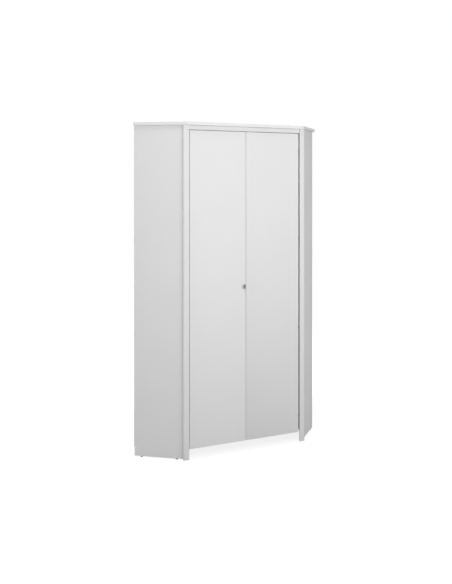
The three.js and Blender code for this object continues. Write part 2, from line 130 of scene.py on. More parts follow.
def linear(hex_colour: str) -> tuple[float, float, float, float]:
    """Linear red, green and blue of an sRGB hex colour, with an alpha of one."""
    parts = np.array([*bytes.fromhex(hex_colour[1:])]) / 255.0
    curved = ((parts + SRGB_SHIFT) / (1.0 + SRGB_SHIFT)) ** SRGB_POWER
    return (*np.where(parts <= SRGB_KNEE, parts / SRGB_SLOPE, curved).tolist(), 1.0)


def empty_tree(holder: bpy.types.Material | bpy.types.World) -> Tree:
    """The node tree of a new material or world, with nothing in it."""
    holder.use_nodes = True
    holder.node_tree.nodes.clear()
    return holder.node_tree


def add_node(tree: Tree, kind: str, inputs: dict[Any, Any], **settings: Any) -> bpy.types.Node:
    """Adds one shader node with its settings, values and links.

    Args:
        tree: the node tree.
        kind: the node's type name, without the ShaderNode in front.
        inputs: a value or an output socket for each input, by name or number.
        settings: the node's own options.

    Returns:
        The new node.
    """
    node = tree.nodes.new(f"ShaderNode{kind}")
    for option, choice in settings.items():
        setattr(node, option, choice)
    for key, value in inputs.items():
        if isinstance(value, Socket):
            tree.links.new(value, node.inputs[key])
        else:
            node.inputs[key].default_value = value
    return node


@dataclass(frozen=True)
class Finish:
    """What every finish of the wardrobe has.

    The colour wanders between two close values in soft clouds, and the roughness wanders in the same clouds. Two
    heights of relief lie over each other: a slow swell and a fine grain. The widths are a cloud's, a swell's and
    a grain's, and the heights are a swell's and a grain's.
    """

    name: str
    slot: Slot
    colour: str
    cloud_colour: str
    roughness: Pair
    widths: Triple
    heights: Pair
    grain_scale: Triple = (1.0, 1.0, 1.0)
    metallic: float = 0.0
    ior: float = 1.5

    def material(self) -> bpy.types.Material:
        """The finish as a material, made at its first use."""
        return bpy.data.materials.get(self.name) or self.make()

    def make(self) -> bpy.types.Material:
        """Builds the node tree on Object coordinates, in which a pattern keeps its size in millimetres."""
        material = bpy.data.materials.new(self.name)
        tree = empty_tree(material)
        cloud_width, swell_width, grain_width = self.widths
        place = add_node(tree, "TexCoord", {}).outputs["Object"]
        scaled = add_node(tree, "Mapping", {"Vector": place, "Scale": self.grain_scale}).outputs["Vector"]
        clouds = self.noise(tree, place, cloud_width, CLOUD_DETAIL)
        swell = self.noise(tree, place, swell_width, SWELL_DETAIL)
        grain = self.noise(tree, scaled, grain_width, GRAIN_DETAIL)
        # The mix node's colour sockets share their names with its other sockets, so they go by number.
        colours = {0: clouds, 6: linear(self.colour), 7: linear(self.cloud_colour)}
        tint = add_node(tree, "Mix", colours, data_type="RGBA").outputs[2]
        span = dict(zip(("From Min", "From Max", "To Min", "To Max"), (*NOISE_SPAN, *self.roughness)))
        sheen = add_node(tree, "MapRange", {"Value": clouds, **span}).outputs["Result"]
        normal = {}
        for relief, height in zip((swell, grain), self.heights):
            bump = add_node(tree, "Bump", {"Height": relief, "Distance": height * MM, "Strength": 1.0, **normal})
            normal = {"Normal": bump.outputs["Normal"]}
        surface = {"Base Color": tint, "Metallic": self.metallic, "Roughness": sheen, "IOR": self.ior, **normal}
        shader = add_node(tree, "BsdfPrincipled", surface)
        add_node(tree, "OutputMaterial", {"Surface": shader.outputs["BSDF"]})
        return material

    @staticmethod
    def noise(tree: Tree, place: Socket, width: float, detail: float) -> Socket:
        """A noise from 0 to 1, whose blobs are about one width across in millimetres."""
        inputs = {"Vector": place, "Scale": 1.0 / (width * MM), "Detail": detail}
        return add_node(tree, "TexNoise", inputs).outputs[0]


# White melamine-faced chipboard: decor paper pressed against a pearl plate. It looks plain and matt, with a faint
# even bloom where light grazes it. The pearl is about 0.4 mm wide and is drawn at 1.4 mm so that it can show.
MELAMINE = Finish(
    "white_melamine_board", Slot.BOARD, "#ececec", "#eaeaea", (0.52, 0.62), (260.0, 22.0, 1.4), (0.02, 0.012)
)

# ABS edging: an extruded white strip, ironed on and trimmed. It is a touch smoother than the faces, and its colour
# is painted a touch brighter than theirs as a painted highlight, so that the arrises show a thin painted light
# line.
EDGING = Finish(
    "white_abs_edging", Slot.BOARD, "#efefef", "#ededed", (0.42, 0.5), (120.0, 14.0, 0.9), (0.012, 0.006)
)

# Foil-wrapped post: white foil drawn round a solid strip, slightly glossier than the boards. Its colour is painted
# a shade greyer than the boards' as painted shade on the post fronts.
POST_FOIL = Finish(
    "white_foil_wrap", Slot.BOARD, "#e9e9e9", "#e7e7e7", (0.46, 0.56), (180.0, 30.0, 1.2), (0.02, 0.008)
)

# Painted hardboard: a roller-coated fibre sheet. Its fibres, 1 to 3 mm long, show as short flecks under the paint.
HARDBOARD = Finish(
    "painted_hardboard",
    Slot.HARDBOARD,
    "#e4e4e2",
    "#dcdcd9",
    (0.58, 0.72),
    (90.0, 9.0, 1.1),
    (0.05, 0.03),
    (1.0, 1.0, 0.35),
)

# Nickel-plated pressed steel: rolled sheet, bent and plated. Soft bright reflections with faint rolling lines.
NICKEL_STEEL = Finish(
    "nickel_plated_steel",
    Slot.NICKEL,
    "#c2c1bd",
    "#b6b5b1",
    (0.22, 0.34),
    (18.0, 6.0, 0.5),
    (0.01, 0.006),
    (1.0, 1.0, 0.1),
    metallic=1.0,
)

# Satin nickel: a cast knob, brushed and then plated. It mirrors the room as one dull, even grey.
SATIN_NICKEL = Finish(
    "brushed_satin_nickel",
    Slot.KNOB,
    "#969592",
    "#8c8b88",
    (0.24, 0.34),
    (9.0, 5.0, 0.4),
    (0.008, 0.005),
    (1.0, 1.0, 0.12),
    metallic=1.0,
)

# Chromed steel tube: polished before plating, so that it mirrors the boards in long streaks.
CHROMED_STEEL = Finish(
    "polished_chrome_plate",
    Slot.CHROME,
    "#dcdedf",
    "#d4d6d8",
    (0.06, 0.12),
    (60.0, 25.0, 0.6),
    (0.006, 0.001),
    (0.1, 1.0, 1.0),
    metallic=1.0,
)

# Zinc-plated screw steel: small heads with a bluish dull shine, scuffed by the driver.
ZINC_STEEL = Finish(
    "zinc_plated_screws",
    Slot.NICKEL,
    "#b4b7bb",
    "#9fa2a6",
    (0.3, 0.48),
    (3.0, 2.0, 0.4),
    (0.006, 0.006),
    metallic=1.0,
)

# Moulded polyethylene glides: dark, slightly waxy, with the matt skin of the mould.
DARK_PLASTIC = Finish(
    "dark_polyethylene", Slot.GLIDE, "#383838", "#303030", (0.48, 0.6), (8.0, 4.0, 0.5), (0.01, 0.01), ior=1.51
)

# Moulded white polystyrene: catch housings and rail end caps, smooth with a soft shine.
WHITE_PLASTIC = Finish(
    "white_polystyrene", Slot.PLASTIC, "#e6e6e4", "#e0e0de", (0.34, 0.44), (12.0, 8.0, 0.6), (0.01, 0.005), ior=1.59
)

FACED_BOARD = (MELAMINE, EDGING)
SCREWED_STEEL = (NICKEL_STEEL, ZINC_STEEL)


# Shapes


def oriented(corners: Points) -> np.ndarray:
    """An outline's corners in counter-clockwise order: reversed where the sum of x dy - y dx is negative."""
    points = np.asarray(corners, float)
    after = np.roll(points, -1, 0)
    area = (points[:, 0] * after[:, 1] - after[:, 0] * points[:, 1]).sum()
    return points if area > 0 else points[::-1]


def right_normals(edges: np.ndarray) -> np.ndarray:
    """The unit normal on the right of each edge, which is outside where an outline runs counter-clockwise."""
    return np.stack([edges[:, 1], -edges[:, 0]], 1) / np.linalg.norm(edges, axis=1, keepdims=True)


def arcs(corners: np.ndarray, arriving: np.ndarray, leaving: np.ndarray, radius: float, steps: int) -> Outline:
    """Rounds corners by an arc each.

    For the right-hand normals p and q of the edges that meet at a corner c, the arc's centre is
    c - s r (p + q) / (1 + p.q), with s 1 on a left turn and -1 on a right one. Its points are centre + s r n, as n
    turns from p to q.

    Args:
        corners: the corners c.
        arriving: the normal p of the edge before each.
        leaving: the normal q of the edge after each.
        radius: the arcs' radius r.
        steps: points on each arc.

    Returns:
        The points of the arcs, and the normal n at each.
    """
    across = arriving[:, 0] * leaving[:, 1] - arriving[:, 1] * leaving[:, 0]
    along = (arriving * leaving).sum(1)
    turn = np.arctan2(across, along)
    reach = np.sign(turn)[:, None] * radius
    centre = corners - reach * (arriving + leaving) / (1.0 + along)[:, None]
    angle = np.arctan2(arriving[:, 1], arriving[:, 0])[:, None] + np.linspace(0.0, 1.0, steps) * turn[:, None]
    fan = np.stack([np.cos(angle), np.sin(angle)], -1)
    return (centre[:, None] + reach[:, None] * fan).reshape(-1, 2), fan.reshape(-1, 2)


def rounded(corners: Points, radius: float, steps: int = PLAIN) -> Outline:
    """A closed outline with rounded corners: its points, and the outward normal at each."""
    points = oriented(corners)
    leaving = right_normals(np.roll(points, -1, 0) - points)
    return arcs(points, np.roll(leaving, 1, 0), leaving, radius, steps)


def filleted(corners: Points, radius: float, steps: int = FINE) -> Outline:
    """An open path, rounded at all but its ends: its points, and the left-hand normal at each."""
    line = np.asarray(corners, float)
    right = right_normals(np.diff(line, axis=0))
    points, normals = arcs(line[1:-1], right[:-1], right[1:], radius, steps)
    return np.concatenate([line[:1], points, line[-1:]]), -np.concatenate([right[:1], normals, right[-1:]])


def rectangle(low: Sequence[float], high: Sequence[float]) -> np.ndarray:
    """The four corners between a low and a high one."""
    return np.array([(low[0], low[1]), (high[0], low[1]), (high[0], high[1]), (low[0], high[1])], float)


def oval(centre: Sequence[float], half: np.ndarray) -> Outline:
    """An upright oval round a centre, from half its width and half its height."""
    return rounded(rectangle(centre - half, centre + half), half[0] - OVAL_SLACK, FULL)


def raised(outline: np.ndarray, height: float) -> np.ndarray:
    """A flat outline set at one height."""
    return np.column_stack([outline, np.full(len(outline), height)])


def lathe_rings(profile: Sequence[Pair], count: int = ROUND_POINTS) -> np.ndarray:
    """Rings (r cos t, r sin t, h), one for each radius r and height h, with t half a step past zero first."""
    angle = (np.arange(count) + 0.5) * 2.0 * math.pi / count
    circle = np.stack([np.cos(angle), np.sin(angle)], 1)
    return np.stack([raised(radius * circle, height) for radius, height in profile])


def eased_rings(outline: Outline, low: float, high: float, arris: float, steps: int = PLAIN) -> np.ndarray:
    """Rings of a board whose edges are eased by a quarter round at both faces.

    At an angle t of the quarter round the ring is inset by r (1 - cos t) and lies r (1 - sin t) from the face.

    Args:
        outline: points and outward normals.
        low: the lower face's height.
        high: the upper face's height.
        arris: the quarter round's radius r.
        steps: rings on each quarter round.

    Returns:
        The rings from the lower face to the upper one.
    """
    points, normals = outline
    turn = np.linspace(QUARTER_TURN, 0.0, steps)
    inset, rise = arris * (1 - np.cos(turn)), arris * (1 - np.sin(turn))
    insets = np.concatenate([inset, inset[::-1]])
    heights = np.concatenate([low + rise, high - rise[::-1]])
    flat = points[None] - insets[:, None, None] * normals[None]
    return np.concatenate([flat, np.broadcast_to(heights[:, None, None], (*flat.shape[:2], 1))], 2)


@dataclass
class Shell:
    """A closed surface: its points, and blocks of faces with a finish number each."""

    points: np.ndarray
    blocks: list[tuple[np.ndarray, int]]

    def placed(self, axes: Axes, origin: Sequence[float] = (0.0, 0.0, 0.0)) -> "Shell":
        """The shell with its own axes laid along the given ones, from an origin."""
        return Shell(self.points @ np.array(axes.value) + np.asarray(origin, float), self.blocks)

    def moved(self, x: float, y: float, z: float) -> "Shell":
        """The shell moved without turning."""
        return Shell(self.points + (x, y, z), self.blocks)

    def mirrored(self) -> "Shell":
        """Its mirror image in x, with the faces wound the other way so that they still face outwards."""
        return Shell(self.points * (-1.0, 1.0, 1.0), [(faces[:, ::-1], finish) for faces, finish in self.blocks])

    @staticmethod
    def joined(shells: Sequence["Shell"]) -> "Shell":
        """Several shells as one."""
        starts = np.cumsum([0] + [len(shell.points) for shell in shells])
        blocks = [(faces + start, finish) for shell, start in zip(shells, starts) for faces, finish in shell.blocks]
        return Shell(np.concatenate([shell.points for shell in shells]), blocks)


def loft(rings: np.ndarray, wall: int = 0, caps: tuple[int, int] = (0, 0), closed: bool = False) -> Shell:
    """A skin over rings of equally many points: one quad between each pair of neighbours on each pair of rings.

    Args:
        rings: the rings, each counter-clockwise seen from the next one.
        wall: the finish number of the quads.
        caps: the finish numbers of the first and the last face.
        closed: whether the last ring joins the first instead of both being capped.

    Returns:
        The shell.
    """
    rows, count, _ = rings.shape
    index = np.arange(rows * count).reshape(rows, count)
    lower, upper = (index, np.roll(index, -1, 0)) if closed else (index[:-1], index[1:])
    quads = np.stack([lower, np.roll(lower, -1, 1), np.roll(upper, -1, 1), upper], -1).reshape(-1, 4)
    blocks = [(quads, wall)]
    if not closed:
        blocks += [(index[:1, ::-1], caps[0]), (index[-1:], caps[1])]
    return Shell(rings.reshape(-1, 3), blocks)


def bored(rings: np.ndarray, bores: Sequence[np.ndarray], wall: int = 0) -> Shell:
    """A loft whose last face has bores, with finish 0 on both faces and in the bores.

    Args:
        rings: the rings of the body.
        bores: the rings of each bore, from its mouth down to its floor.
        wall: the finish number of the body's walls.

    Returns:
        The shell.
    """
    body = loft(rings, wall)
    pits = [loft(bore) for bore in bores]
    open_pits = [Shell(pit.points, [pit.blocks[0], pit.blocks[2]]) for pit in pits]
    whole = Shell.joined([Shell(body.points, body.blocks[:2]), *open_pits])
    starts = np.cumsum([len(body.points)] + [len(pit.points) for pit in pits])
    mouths = [np.arange(len(body.points) - rings.shape[1], len(body.points))]
    mouths += [start + np.arange(bore.shape[1]) for start, bore in zip(starts, bores)]
    names = np.concatenate(mouths)
    triangles = np.array(tessellate_polygon([whole.points[mouth].tolist() for mouth in mouths]))
    first, second, third = (whole.points[names[triangles[:, k]], :2] for k in range(3))
    edge, other = second - first, third - first
    backward = edge[:, 0] * other[:, 1] - edge[:, 1] * other[:, 0] < 0
    triangles[backward] = triangles[backward][:, ::-1]
    return Shell(whole.points, [*whole.blocks, (names[triangles], 0)])


def slab(
    outline: Outline, low: float, high: float, arris: float, steps: int = PLAIN, wall: int = 0, cap: int = 0
) -> Shell:
    """A solid board with eased edges. It takes what eased_rings takes, and its walls' and faces' finish numbers."""
    return loft(eased_rings(outline, low, high, arris, steps), wall, (cap, cap))


def sweep(path: Outline, section: np.ndarray) -> Shell:
    """Carries a section along a path in plan: each point is p + u n + v z.

    Args:
        path: the path's points p and their left-hand normals n.
        section: the section's points (u, v).

    Returns:
        The shell.
    """
    points, normals = path
    plan = points[:, None] + section[None, :, :1] * normals[:, None]
    height = np.broadcast_to(section[None, :, 1:], (*plan.shape[:2], 1))
    return loft(np.concatenate([plan, height], 2))


@dataclass(frozen=True)
class ScrewHead:
    """A pan head with a cross recess, rising along its own third axis from the face it is driven against."""

    radius: float = 3.4
    height: float = 1.6
    recess_reach: float = 1.7
    recess_half_width: float = 0.5
    recess_depth: float = 1.1
    recess_taper: float = 0.6
    crown_share: float = 0.62
    rim_share: float = 0.35
    dome_steps: int = 5

    def shell(self, finish: int = 0) -> Shell:
        """The head: a turned dome with a crossed pit.

        Its lowest ring has the full radius R. The rings above have the radius R (c + (1 - c) cos t) and the height
        h (m + (1 - m) sin t), with c the crown's share of the radius and m the rim's share of the height h.

        Args:
            finish: its finish number.

        Returns:
            The shell.
        """
        turn = np.linspace(0.0, 1.0, self.dome_steps) * QUARTER_TURN
        radii = self.radius * (self.crown_share + (1.0 - self.crown_share) * np.cos(turn))
        heights = self.height * (self.rim_share + (1.0 - self.rim_share) * np.sin(turn))
        rings = lathe_rings([(self.radius, 0.0), *zip(radii, heights)], SMALL_ROUND_POINTS)
        long, wide = self.recess_reach, self.recess_half_width
        arm = np.array([(long, -wide), (long, wide), (wide, wide)])
        quarter_turn = np.array([(0, 1), (-1, 0)])
        cross = np.concatenate([arm @ np.linalg.matrix_power(quarter_turn, count) for count in range(4)])
        floor = raised(cross * self.recess_taper, self.height - self.recess_depth)
        head = bored(rings, [np.stack([raised(cross, self.height), floor])])
        return Shell(head.points, [(faces, finish) for faces, _ in head.blocks])


# Pieces


def make_piece(node: str, suffix: str, shell: Shell, finishes: Sequence[Finish], body: Body = Body.CARCASS) -> None:
    """Makes a shell into the piece that stands for a node of the frame, with its place in its mesh.

    Args:
        node: the node's name.
        suffix: what the piece's name has after the node's.
        shell: its surface, in millimetres.
        finishes: the finishes that its face blocks number.
        body: the body it rides on.
    """
    name = f"{node}_{suffix}"
    mesh = bpy.data.meshes.new(name)
    faces = [face for block, _ in shell.blocks for face in block.tolist()]
    numbers = np.concatenate([np.full(len(block), finish) for block, finish in shell.blocks])
    mesh.from_pydata((shell.points * MM).tolist(), [], faces)
    mesh.polygons.foreach_set("material_index", numbers.astype(np.int32))
    for finish in finishes:
        mesh.materials.append(finish.material())
    mesh.shade_smooth()
    mesh.set_sharp_from_angle(angle=math.radians(CREASE_DEGREES))
    mesh.validate()
    piece = add_object(name, mesh)
    flats = piece.modifiers.new("flat_faces_stay_flat", "WEIGHTED_NORMAL")
    flats.keep_sharp = True
    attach(piece, body.value)
    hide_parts(node)
    log.info("%s: %d faces on %s", name, len(faces), body.value)


def make_twins(nodes: str, suffix: str, shell: Shell, finishes: Sequence[Finish], on_door: bool = False) -> None:
    """Makes a left piece and its mirror image.

    Args:
        nodes: the two nodes' name, with {} for the side.
        suffix: what the pieces' names have after the nodes'.
        shell: the left piece's surface, in millimetres.
        finishes: as for make_piece.
        on_door: whether the pieces ride on the doors instead of the carcass.
    """
    for side in Side:
        twin = shell if side is Side.LEFT else shell.mirrored()
        body = Body(f"{side.value}_door") if on_door else Body.CARCASS
        make_piece(nodes.format(side.value), suffix, twin, finishes, body)


# The wardrobe


@dataclass(frozen=True)
class Plan:
    """The wardrobe's driving sizes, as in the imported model."""

    wall_leg: float = 969.0
    side_depth: float = 360.0
    height: float = 2106.0
    board: float = 16.0
    top_board: float = 20.0
    back: float = 3.0
    overhang: float = 17.0
    fit: float = 0.3
    post: float = 8.0
    post_inset: float = 4.0
    door_recess: float = 8.0
    door_gap: float = 3.0
    door_side_gap: float = 6.3
    door_lift: float = 63.0
    head_rail: float = 28.0
    pin_inset: float = 20.0
    pin_depth: float = 10.0

    @property
    def half_depth(self) -> float:
        """From the origin to the room's corner."""
        return (self.wall_leg + self.side_depth) * WALL_SHARE / 2

    @property
    def under_top(self) -> float:
        """Height of the top board's lower face."""
        return self.height - self.top_board

    @property
    def post_front(self) -> float:
        """The posts' front plane."""
        return self.overhang - self.half_depth

    @property
    def post_back(self) -> float:
        """The posts' back plane."""
        return self.post_front + self.post

    @property
    def panel_front(self) -> float:
        """The plane of the side panels' mitred front edges."""
        return self.post_back + self.fit

    @property
    def door_front(self) -> float:
        """The doors' front plane."""
        return self.post_front + self.door_recess

    @property
    def door_back(self) -> float:
        """The doors' back plane."""
        return self.door_front + self.board

    @property
    def door_top(self) -> float:
        """Height of the doors' upper edge."""
        return self.under_top - self.head_rail - self.door_gap

    @property
    def side_inner(self) -> float:
        """From the room's corner along a wall to the side panel's inner face."""
        return self.wall_leg - self.overhang - self.board

    @property
    def post_inner_x(self) -> float:
        """From the middle to the posts' inner edges, which stand over the side panels' inner edges."""
        return (self.side_inner - self.out_at(self.side_inner, self.panel_front)) * WALL_SHARE

    @property
    def door_outer_x(self) -> float:
        """From the middle to the doors' outer edges."""
        return self.post_inner_x - self.door_side_gap

    @property
    def back_face(self) -> float:
        """How far out from the wall the space in front of the back panels starts."""
        return self.back + self.fit

    @property
    def pin(self) -> Pair:
        """Where the left door's pins stand in plan."""
        return self.pin_inset - self.door_outer_x, self.door_front + self.pin_depth

    def left(self, along: float, out: float) -> Pair:
        """A point in plan from its distances along and out from the left wall."""
        return -(along - out) * WALL_SHARE, self.half_depth - (along + out) * WALL_SHARE

    def out_at(self, along: float, y: float) -> float:
        """How far out from the wall a point at depth y lies, at a distance along that wall."""
        return (self.half_depth - y) / WALL_SHARE - along

    def both_halves(self, left_half: Sequence[Pair]) -> np.ndarray:
        """An outline that is the same on both sides, from its left half, which starts in the middle."""
        half = np.array(left_half)
        twin = half[::-1] * (-1.0, 1.0)
        return np.concatenate([half, twin[np.abs(twin[:, 0]) > self.fit / 2]])


@dataclass(frozen=True)
class Panels:
    """The boards of the carcass: top, floor, shelf, batten, sides and backs."""

    plan: Plan
    arris: float = 0.7
    top_arris: float = 1.5
    batten: float = 36.0
    glide: float = 6.0
    floor_lift: float = 2.0
    swing_clearance: float = 1.6
    hat_space: float = 340.0
    shelf_setback: float = 54.0
    back_arris: float = 0.25

    @property
    def floor_low(self) -> float:
        """Height of the floor panel's lower face."""
        return self.plan.door_lift + self.floor_lift

    @property
    def shelf_low(self) -> float:
        """Height of the hat shelf's lower face."""
        return self.plan.under_top - self.hat_space - self.plan.board

    @property
    def shelf_front(self) -> float:
        """The plane of the hat shelf's front edge."""
        return self.plan.door_back + self.shelf_setback

    def lying(self, corners: Sequence[Pair], low: float, high: float, arris: float) -> Shell:
        """A board that lies flat, from the left half of its corners, with edging round its sides."""
        return slab(rounded(self.plan.both_halves(corners), arris), low, high, arris, wall=1)

    def inner_board(self, front: float, low: float) -> Shell:
        """A board between the sides, from the batten and the back panels to a straight front edge."""
        plan, notch = self.plan, self.plan.back_face + self.batten + self.plan.fit
        along = plan.side_inner - plan.fit
        corners = [
            plan.left(notch, notch),
            plan.left(notch, plan.back_face),
            plan.left(along, plan.back_face),
            plan.left(along, plan.out_at(along, front)),
        ]
        return self.lying(corners, low, low + plan.board, self.arris)

    def top(self) -> Shell:
        """The top board, whose five corners overhang the sides and the front."""
        plan = self.plan
        corners = [plan.left(0, 0), plan.left(plan.wall_leg, 0), plan.left(plan.wall_leg, plan.side_depth)]
        return self.lying(corners, plan.under_top, plan.height, self.top_arris)

    def floor(self) -> Shell:
        """The floor panel, which ends behind the doors' swing."""
        plan = self.plan
        front = plan.pin[1] + math.hypot(plan.pin_inset, plan.pin_depth) + self.swing_clearance
        return self.inner_board(front, self.floor_low)

    def rear_batten(self) -> Shell:
        """The upright batten in the room's corner."""
        near, far = self.plan.back_face, self.plan.back_face + self.batten
        corners = [self.plan.left(*place) for place in ((near, near), (far, near), (far, far), (near, far))]
        return slab(rounded(corners, self.arris), self.glide, self.plan.under_top, self.arris)

    def side_panel(self) -> Shell:
        """The left side panel, mitred behind its post, with edging on its ends."""
        plan = self.plan
        inner, outer = plan.side_inner, plan.side_inner + plan.board
        corners = [
            plan.left(inner, plan.back_face),
            plan.left(outer, plan.back_face),
            plan.left(outer, plan.out_at(outer, plan.panel_front)),
            (-plan.post_inner_x, plan.panel_front),
        ]
        return slab(rounded(corners, self.arris), self.glide, plan.under_top, self.arris, cap=1)

    def back_panel(self) -> Shell:
        """The left back panel, whose upper face lies against the wall."""
        plan = self.plan
        far = plan.wall_leg - plan.overhang - plan.fit
        outline = rounded(rectangle((plan.back_face, self.floor_low), (far, plan.under_top)), self.back_arris)
        sheet = slab(outline, -plan.back, 0.0, self.back_arris, COARSE)
        return sheet.placed(Axes.TO_LEFT_WALL, (0.0, plan.half_depth, 0.0))

    def build(self) -> None:
        """Makes the boards."""
        make_piece("top_panel", "board", self.top(), FACED_BOARD)
        make_piece("floor_panel", "board", self.floor(), FACED_BOARD)
        make_piece("hat_shelf", "board", self.inner_board(self.shelf_front, self.shelf_low), FACED_BOARD)
        make_piece("rear_corner_batten", "board", self.rear_batten(), [EDGING])
        make_twins("{}_side_panel", "board", self.side_panel(), FACED_BOARD)
        make_twins("{}_back_panel", "sheet", self.back_panel(), [HARDBOARD])


@dataclass(frozen=True)
class FrontFrame:
    """The two posts and the head rail, which frame the doors."""

    plan: Plan
    post_arris: float = 1.2
    end_arris: float = 0.5
    rail_arris: float = 0.8

    def post(self) -> Shell:
        """The left post, a flat strip over the side panel's front edge, with soft upright edges."""
        plan = self.plan
        along = plan.wall_leg - plan.post_inset
        corners = [
            plan.left(along, plan.out_at(along, plan.post_front)),
            plan.left(along, plan.out_at(along, plan.post_back)),
            (-plan.post_inner_x, plan.post_back),
            (-plan.post_inner_x, plan.post_front),
        ]
        return slab(rounded(corners, self.post_arris, FINE), 0.0, plan.under_top, self.end_arris)

    def head_rail(self) -> Shell:
        """The head rail over the doors."""
        plan = self.plan
        half = plan.post_inner_x - plan.fit
        corners = rectangle((-half, plan.under_top - plan.head_rail), (half, plan.under_top))
        rail = slab(rounded(corners, self.rail_arris), plan.door_front, plan.door_back, self.rail_arris, wall=1)
        return rail.placed(Axes.INWARD)

    def build(self) -> None:
        """Makes the frame's pieces."""
        make_twins("{}_front_post", "strip", self.post(), [POST_FOIL])
        make_piece("head_rail", "board", self.head_rail(), FACED_BOARD)


@dataclass(frozen=True)
class Doors:
    """The two doors, bored at the back for their hinge cups."""

    plan: Plan
    arris: float = 0.8
    hinges: int = 4
    hinge_inset: float = 100.0
    cup_inset: float = 22.0
    cup_bore: float = 17.8
    bore_points: int = 56
    cup_depth: float = 11.8

    def hinge_heights(self) -> np.ndarray:
        """Heights of the hinges, evenly spaced between the two outermost."""
        lowest, highest = self.plan.door_lift + self.hinge_inset, self.plan.door_top - self.hinge_inset
        return np.linspace(lowest, highest, self.hinges)

    def door(self) -> Shell:
        """The left door; its own first axis runs to the left, so that its upper face is the back."""
        plan, back = self.plan, self.plan.door_back
        corners = rectangle((plan.door_gap / 2, plan.door_lift), (plan.door_outer_x, plan.door_top))
        rings = eased_rings(rounded(corners, self.arris), plan.door_front, back, self.arris)
        pit = lathe_rings([(self.cup_bore, back), (self.cup_bore, back - self.cup_depth)], self.bore_points)
        bores = [pit + (plan.door_outer_x - self.cup_inset, height, 0.0) for height in self.hinge_heights()]
        return bored(rings, bores, wall=1).placed(Axes.INWARD)

    def build(self) -> None:
        """Makes both doors."""
        make_twins("{}_door", "board", self.door(), FACED_BOARD, on_door=True)


